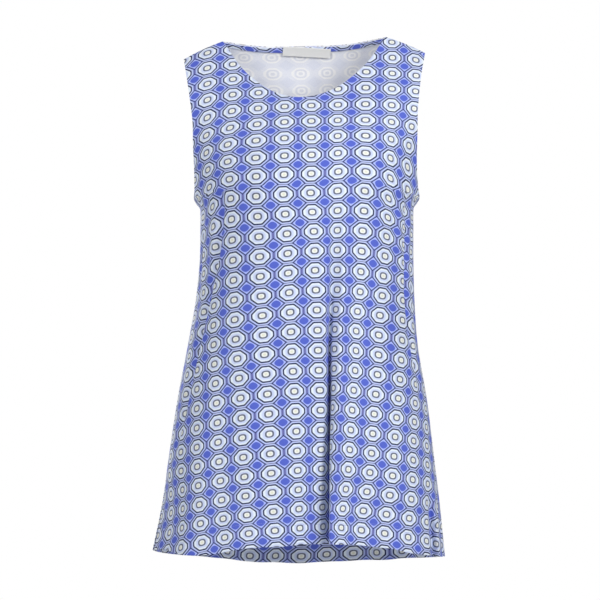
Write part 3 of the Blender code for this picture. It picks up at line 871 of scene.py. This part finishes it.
# Colours of the print, laid one over the other: each covers the cloth where its measure
# is below edge, and blurs over soft to each side of it. gap_x, gap_y and octagon are
# millimetres, and diamond, pool and ring are shares of those shapes' half sizes.
Ink = namedtuple("Ink", "name measure edge soft colour")
PRINT_INKS = (
    Ink("bar edge", "gap_y", 1.7, 0.3, "#838CBC"),
    Ink("bar", "gap_y", 0.9, 0.3, "#6A74A0"),
    Ink("upright edge", "gap_x", 1.5, 0.3, "#7D84BE"),
    Ink("upright", "gap_x", 0.9, 0.3, "#6468AA"),
    Ink("octagon gap", "octagon", 2.5, 0.3, "#C6D2FA"),
    Ink("diamond line", "diamond", 1.12, 0.03, "#2E3878"),
    Ink("diamond border", "diamond", 0.91, 0.03, "#B3C1FF"),
    Ink("diamond field", "pool", 1.0, 0.12, "#5668D0"),
    Ink("octagon line", "octagon", 0.95, 0.15, "#1E2856"),
    Ink("octagon field", "octagon", -0.95, 0.2, "#EAF4FF"),
    Ink("halo", "ring", 1.85, 0.35, "#CFDAF9"),
    Ink("ring", "ring", 1.22, 0.06, "#5E667E"),
    Ink("centre", "ring", 0.78, 0.06, "#F5F7F4"),
    Ink("centre spot", "ring", 0.42, 0.15, "#E9EADB"),
)

UNDER, OVER, MIXED = 6, 7, 2  # a colour Mix node's two colours and its result


def print_colour(tree, ground, inks):
    """The print's colour at each place on the cloth, from the piece's own print map."""
    place = add(tree, "ShaderNodeUVMap", {"uv_map": "print"})
    split = add(tree, "ShaderNodeSeparateXYZ", links={0: place.outputs[0]})
    sums = {"u": split.outputs[0], "v": split.outputs[1]}
    for line in PRINT_SUMS:
        terms = dict(enumerate((line.first, line.second, line.third)))
        given = {i: term for i, term in terms.items() if not isinstance(term, str)}
        named = {i: sums[term] for i, term in terms.items() if isinstance(term, str)}
        node = add(tree, "ShaderNodeMath", {"operation": line.operation, **given}, named)
        sums[line.name] = node.outputs[0]
    colour = add(tree, "ShaderNodeRGB").outputs[0]
    colour.default_value = linear(ground)
    for ink in inks:
        cover = add(
            tree,
            "ShaderNodeMapRange",
            {
                "interpolation_type": "SMOOTHSTEP",
                "From Min": ink.edge - ink.soft,
                "From Max": ink.edge + ink.soft,
                "To Min": 1.0,
                "To Max": 0.0,
            },
            {"Value": sums[ink.measure]},
        )
        mix = add(
            tree,
            "ShaderNodeMix",
            {"data_type": "RGBA", OVER: linear(ink.colour)},
            {"Factor": cover.outputs[0], UNDER: colour},
        )
        colour = mix.outputs[MIXED]
    return place.outputs[0], colour


# Threads, in millimetres. A fine rib or weave is drawn as coarse as it needs to show.
BAND = 0.314  # the width of one band of a wave texture whose scale is 1
WALE = 0.9  # one rib of the knit, about twice a real one's width
LABEL_THREAD = 0.45  # one thread across the label, about three times a real one's width
THREAD_TWIST = 0.4  # one turn of the sewing thread
FIBRE_SCALE = 900.0  # noise of about a millimetre: single stitches
DYE_SCALE = 45.0  # noise of about 22 mm: the dye's unevenness


def bumped(tree, shader, height, strength, depth):
    """A bump of a depth in millimetres, from a height between 0 and 1."""
    bump = add(
        tree,
        "ShaderNodeBump",
        {"Strength": strength, "Distance": depth * MM},
        {"Height": height},
    )
    tree.links.new(bump.outputs[0], shader.inputs["Normal"])


def knitted(tree, shader, place, colour, depth):
    """Jersey's fine ribs, a slight unevenness of the dye, and the bump of both."""
    shades = []
    for scale, detail, roughness, spread in (
        (FIBRE_SCALE, 2.0, 0.6, 0.06),
        (DYE_SCALE, 3.0, 0.55, 0.02),
    ):
        noise = add(
            tree,
            "ShaderNodeTexNoise",
            {"Scale": scale, "Detail": detail, "Roughness": roughness},
            {"Vector": place},
        )
        shade = add(
            tree,
            "ShaderNodeMapRange",
            {"From Min": 0.3, "From Max": 0.7, "To Min": 1 - spread, "To Max": 1 + spread},
            {"Value": noise.outputs[0]},
        )
        shades.append((noise.outputs[0], shade.outputs[0]))
    (fibres, fine), (_, broad) = shades
    both = add(tree, "ShaderNodeMath", {"operation": "MULTIPLY"}, {0: fine, 1: broad})
    dyed = add(
        tree,
        "ShaderNodeVectorMath",
        {"operation": "SCALE"},
        {0: colour, "Scale": both.outputs[0]},
    )
    tree.links.new(dyed.outputs[0], shader.inputs["Base Color"])
    ribs = add(
        tree,
        "ShaderNodeTexWave",
        {
            "wave_type": "BANDS",
            "bands_direction": "X",
            "Scale": BAND / WALE / MM,
            "Distortion": 0.6,
            "Detail": 0.0,
        },
        {"Vector": place},
    )
    height = add(
        tree,
        "ShaderNodeMath",
        {"operation": "MULTIPLY_ADD", 1: 0.5},
        {0: ribs.outputs["Fac"], 2: fibres},
    )
    bumped(tree, shader, height.outputs[0], 0.35, depth)


def finish(name, roughness, sheen, specular=0.3):
    """A material with the settings that are the same all over it."""
    made = bpy.data.materials.new(name)
    made.use_nodes = True
    shader = made.node_tree.nodes["Principled BSDF"]
    for socket, value in (
        ("Metallic", 0.0),
        ("Roughness", roughness),
        ("Sheen Weight", sheen),
        ("Sheen Roughness", 0.5),
        ("Specular IOR Level", specular),
        ("IOR", 1.46),
    ):
        shader.inputs[socket].default_value = value
    return made, made.node_tree, shader


# Viscose jersey, knitted white and printed on one side: a matt, slightly soft surface
# with a crisp small print that fades into the knit at its edges.
printed_jersey, tree, shader = finish("printed_viscose_jersey", roughness=0.72, sheen=0.12)
place, colour = print_colour(tree, "#99A7E2", PRINT_INKS)
knitted(tree, shader, place, colour, depth=0.12)

# The unprinted side of the same jersey: pale, with the print showing through as a faint
# shadow, its white rings a little lighter.
REVERSE_INKS = (
    Ink("shadow of the diamond", "diamond", 1.0, 0.2, "#E8EBF6"),
    Ink("shadow of the octagon", "octagon", -0.8, 0.8, "#FEFEFF"),
    Ink("shadow of the halo", "ring", 1.75, 0.2, "#E8EAF2"),
    Ink("shadow of the ring", "ring", 1.15, 0.2, "#FEFEFF"),
    Ink("shadow of the centre", "ring", 0.6, 0.2, "#E9EBF2"),
)
jersey_reverse, tree, shader = finish("viscose_jersey_reverse", roughness=0.8, sheen=0.12)
place, colour = print_colour(tree, "#EFF1F9", REVERSE_INKS)
knitted(tree, shader, place, colour, depth=0.15)

# Woven polyester satin label: white with a faint cross weave and a low shine.
label_satin, tree, shader = finish("woven_polyester_satin", roughness=0.45, sheen=0.05, specular=0.45)
place = add(tree, "ShaderNodeUVMap", {"uv_map": "print"}).outputs[0]
threads = add(
    tree,
    "ShaderNodeTexWave",
    {
        "wave_type": "BANDS",
        "bands_direction": "Y",
        "Scale": BAND / LABEL_THREAD / MM,
        "Distortion": 0.3,
    },
    {"Vector": place},
)
weave = add(
    tree,
    "ShaderNodeMapRange",
    {"To Min": 0.90, "To Max": 1.0},
    {"Value": threads.outputs["Fac"]},
)
white = add(
    tree,
    "ShaderNodeMix",
    {"data_type": "RGBA", UNDER: linear("#C9C9C6"), OVER: linear("#F5F5F3")},
    {"Factor": weave.outputs[0]},
)
tree.links.new(white.outputs[MIXED], shader.inputs["Base Color"])
bumped(tree, shader, threads.outputs["Fac"], 0.3, 0.08)

# Spun polyester sewing thread, in the print's blue: dull, with a fine twist.
sewing_thread, tree, shader = finish("spun_polyester_thread", roughness=0.6, sheen=0.2)
place = add(tree, "ShaderNodeTexCoord").outputs["Object"]
twist = add(
    tree,
    "ShaderNodeTexWave",
    {"wave_type": "BANDS", "bands_direction": "DIAGONAL", "Scale": BAND / THREAD_TWIST / MM},
    {"Vector": place},
)
thread_colour = add(
    tree,
    "ShaderNodeMix",
    {"data_type": "RGBA", UNDER: linear("#7F88C8"), OVER: linear("#A3ABE0")},
    {"Factor": twist.outputs["Fac"]},
)
tree.links.new(thread_colour.outputs[MIXED], shader.inputs["Base Color"])

# Pieces
OUTSIDE = (printed_jersey, jersey_reverse)
TURNED = (jersey_reverse, printed_jersey)
front_cloth = make_panel("front_cloth", FRONT, OUTSIDE)
back_cloth = make_panel("back_cloth", BACK, OUTSIDE)
front_turnup = make_hem_turnup("front_hem_cloth", FRONT, TURNED)
back_turnup = make_hem_turnup("back_hem_cloth", BACK, TURNED)
neck_band = make_neck_band("back_neck_cloth", BACK, TURNED)
label = make_label("bare_label", BACK, (label_satin, label_satin))

# Stitching: one row is a line of short threads along the cloth, each a low spindle.
STITCH_LENGTH = 2.6
STITCH_PITCH = 3.2
STITCH_THICK = 0.45
STITCH_PROUD = 0.05
STITCH_ROWS = (3.0, 8.0)  # below the top of the turned-up hem
STITCH_END = 0.99  # where a row stops, short of the side seams
STITCH_SAMPLES = 900


def stitch_line(mesh, panel, across, rise):
    """Stitches along a line of places on the outside of a panel."""
    points = surface(panel, across, rise) + outward_of(panel, across, rise) * STITCH_PROUD
    steps = np.linalg.norm(np.diff(points, axis=0), axis=-1)
    passed = np.concatenate([[0], np.cumsum(steps)])
    for start in np.arange(STITCH_PITCH, passed[-1] - STITCH_PITCH, STITCH_PITCH):
        ends = [
            Vector([np.interp(start + far, passed, points[:, axis]) for axis in range(3)])
            for far in (0.0, STITCH_LENGTH)
        ]
        run = ends[1] - ends[0]
        turn = run.to_track_quat("X", "Z").to_matrix().to_4x4()
        size = Matrix.Diagonal((STITCH_LENGTH / 2, STITCH_THICK / 2, STITCH_THICK / 2, 1))
        place = Matrix.Translation((ends[0] + ends[1]) / 2) @ turn @ size
        bmesh.ops.create_icosphere(mesh, subdivisions=1, radius=1.0, matrix=Matrix.Scale(MM, 4) @ place)


def make_stitching(name, panel):
    """Two rows of a twin needle at the top of the turned-up hem."""
    mesh = bmesh.new()
    across = np.linspace(-STITCH_END, STITCH_END, STITCH_SAMPLES)
    for down in STITCH_ROWS:
        stitch_line(mesh, panel, across, np.full_like(across, HEM_DEPTH - down))
    return finished_piece(name, mesh, [sewing_thread])


front_stitching = make_stitching("front_stitching", FRONT)
back_stitching = make_stitching("back_stitching", BACK)

for piece, slot, nodes in (
    (front_cloth, "printed_jersey", ["front"]),
    (back_cloth, "printed_jersey", ["back"]),
    (front_turnup, "printed_jersey_turned", ["hem_turnup_front"]),
    (back_turnup, "printed_jersey_turned", ["hem_turnup_back"]),
    (neck_band, "printed_jersey_turned", ["neck_band_back"]),
    (label, "woven_label", ["label"]),
    (front_stitching, "printed_jersey", []),
    (back_stitching, "printed_jersey", []),
):
    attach(piece, "root")
    if nodes:
        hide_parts(*nodes)

# Studio, in metres
SENSOR_WIDTH = 36.0
LENS = 136.2
CAMERA_PLACE = (-0.0042, -3.2, -0.3567)  # level with the middle of the top
FLOOR_RADIUS = 3.3
FLOOR_HEIGHT = -1.25
AIM = Vector((0.0, 0.0, -0.36))  # where the lamps point
Lamp = namedtuple("Lamp", "name place size power")
LAMPS = (
    Lamp("left softbox", (-1.75, -2.25, 0.75), 1.1, 38.0),
    Lamp("right softbox", (1.75, -1.95, 0.75), 1.1, 51.0),
    Lamp("back softbox", (-1.2, 2.5, 0.75), 1.4, 68.0),
)
ROOM_LIGHT = 0.15  # soft light from all round

camera_data = bpy.data.cameras.new("camera")
camera_data.sensor_width = SENSOR_WIDTH
camera_data.lens = LENS
camera = bpy.data.objects.new("camera", camera_data)
camera.location = CAMERA_PLACE
camera.rotation_euler = (math.radians(90), 0, 0)
bpy.context.collection.objects.link(camera)
bpy.context.scene.camera = camera

floor_mesh = bmesh.new()
bmesh.ops.create_circle(floor_mesh, cap_ends=True, segments=96, radius=FLOOR_RADIUS)
bmesh.ops.translate(floor_mesh, verts=floor_mesh.verts[:], vec=(0, 0, FLOOR_HEIGHT))
floor_finish, tree, shader = finish("matt_white_floor", roughness=0.9, sheen=0.0)
shader.inputs["Base Color"].default_value = linear("#DCDCDC")
floor = finished_piece("floor", floor_mesh, [floor_finish])

for lamp in LAMPS:
    light_data = bpy.data.lights.new(lamp.name, "AREA")
    light_data.shape = "DISK"
    light_data.size = lamp.size
    light_data.energy = lamp.power
    light = bpy.data.objects.new(lamp.name, light_data)
    light.location = lamp.place
    light.rotation_euler = (AIM - Vector(lamp.place)).to_track_quat("-Z", "Y").to_euler()
    bpy.context.collection.objects.link(light)

# A room of pale paper: the camera sees it white, and it lights the cloth only a little.
world = bpy.data.worlds.new("studio")
world.use_nodes = True
bpy.context.scene.world = world
tree = world.node_tree
tree.nodes.clear()
room = add(tree, "ShaderNodeBackground", {"Color": (1, 1, 1, 1), "Strength": ROOM_LIGHT})
paper = add(tree, "ShaderNodeBackground", {"Color": (1, 1, 1, 1), "Strength": 1.0})
seen = add(tree, "ShaderNodeLightPath")
chosen = add(
    tree,
    "ShaderNodeMixShader",
    links={0: seen.outputs["Is Camera Ray"], 1: room.outputs[0], 2: paper.outputs[0]},
)
add(tree, "ShaderNodeOutputWorld", links={"Surface": chosen.outputs[0]})
bpy.context.scene.view_settings.view_transform = "Standard"
